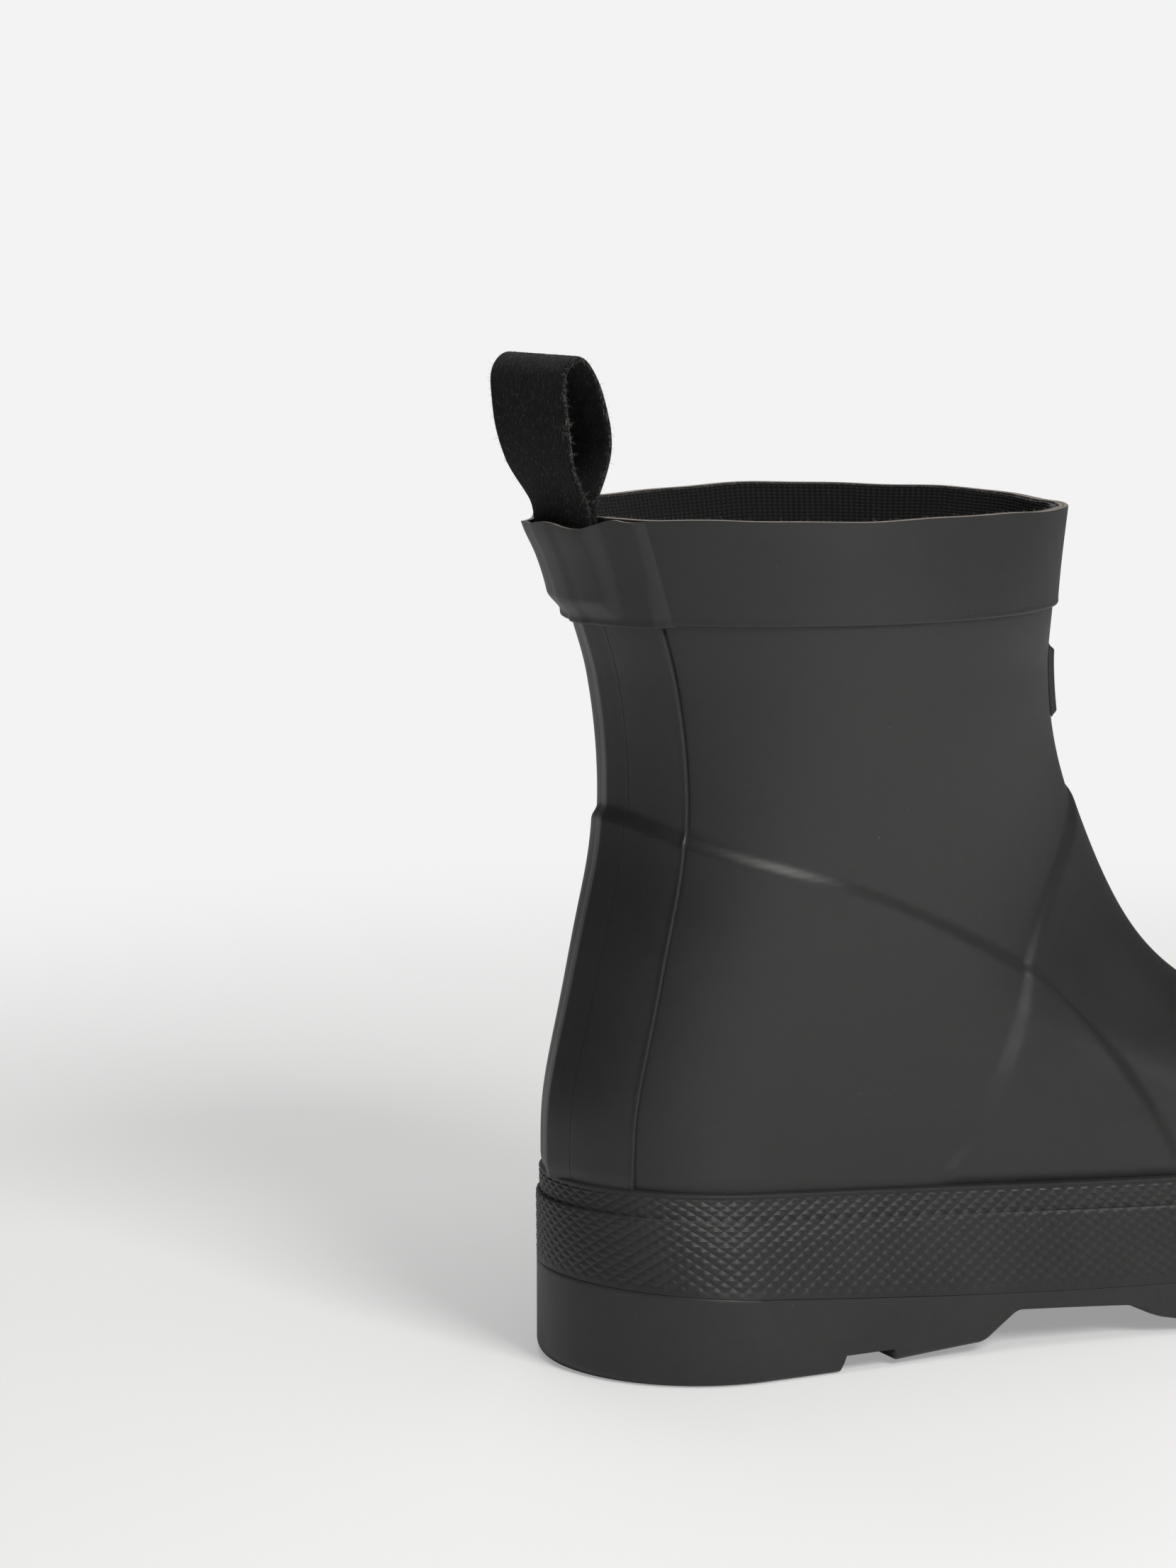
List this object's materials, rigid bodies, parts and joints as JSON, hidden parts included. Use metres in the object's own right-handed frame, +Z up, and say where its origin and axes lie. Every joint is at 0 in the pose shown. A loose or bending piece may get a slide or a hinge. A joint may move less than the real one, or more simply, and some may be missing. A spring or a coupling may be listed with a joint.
{
  "type": "rubber rain boot",
  "caption": "Short rubber rain boot for the right foot, with a raised collar, knurled foxing, ribbed back stay and a webbing pull loop that folds.",
  "frame": {"origin": "centre of the bounding box in plan, at the lowest point of the tread", "axes": "+X towards the toe, +Y towards the medial side (the wearer's other foot), +Z up"},
  "size_m": [0.277, 0.1036, 0.2492],
  "materials": {
    "rubber": "matte dark grey rubber with a soft broad sheen",
    "sole_rubber": "matte dark grey rubber, smooth side",
    "canvas": "coarse black woven lining",
    "webbing": "black cotton webbing with light lint",
    "stiffener": "raw rubber sheet, hidden",
    "foam": "dense foam rubber, hidden",
    "steel": "plain spring steel, hidden",
    "board": "pressed fibre board, hidden",
    "footbed_fabric": "black fabric over foam"
  },
  "bodies": {
    "boot": {"upper_skin": "rubber", "back_stay": "rubber", "back_rib": "rubber", "collar_band": "rubber", "back_patch": "rubber", "front_badge": "rubber", "foxing_strip": "rubber", "foxing_band": "rubber", "outsole": "sole_rubber", "lining": "canvas", "top_tape": "canvas", "loop_tail": "webbing", "heel_counter": "stiffener", "vamp_stiffener": "stiffener", "heel_filler": "foam", "forefoot_filler": "foam", "midsole": "foam", "steel_shank": "steel", "insole_board": "board", "footbed": "footbed_fabric"},
    "loop": {"pull_loop": "webbing"}
  },
  "joints": [
    {"name": "loop_fold", "type": "hinge", "parent": "boot", "child": "loop", "pos_m": [-0.1303, 0.0005, 0.212], "axis": [0, 1, 0], "range_deg": [-65, 65], "stiffness_Nm_per_rad": 0.01}
  ]
}
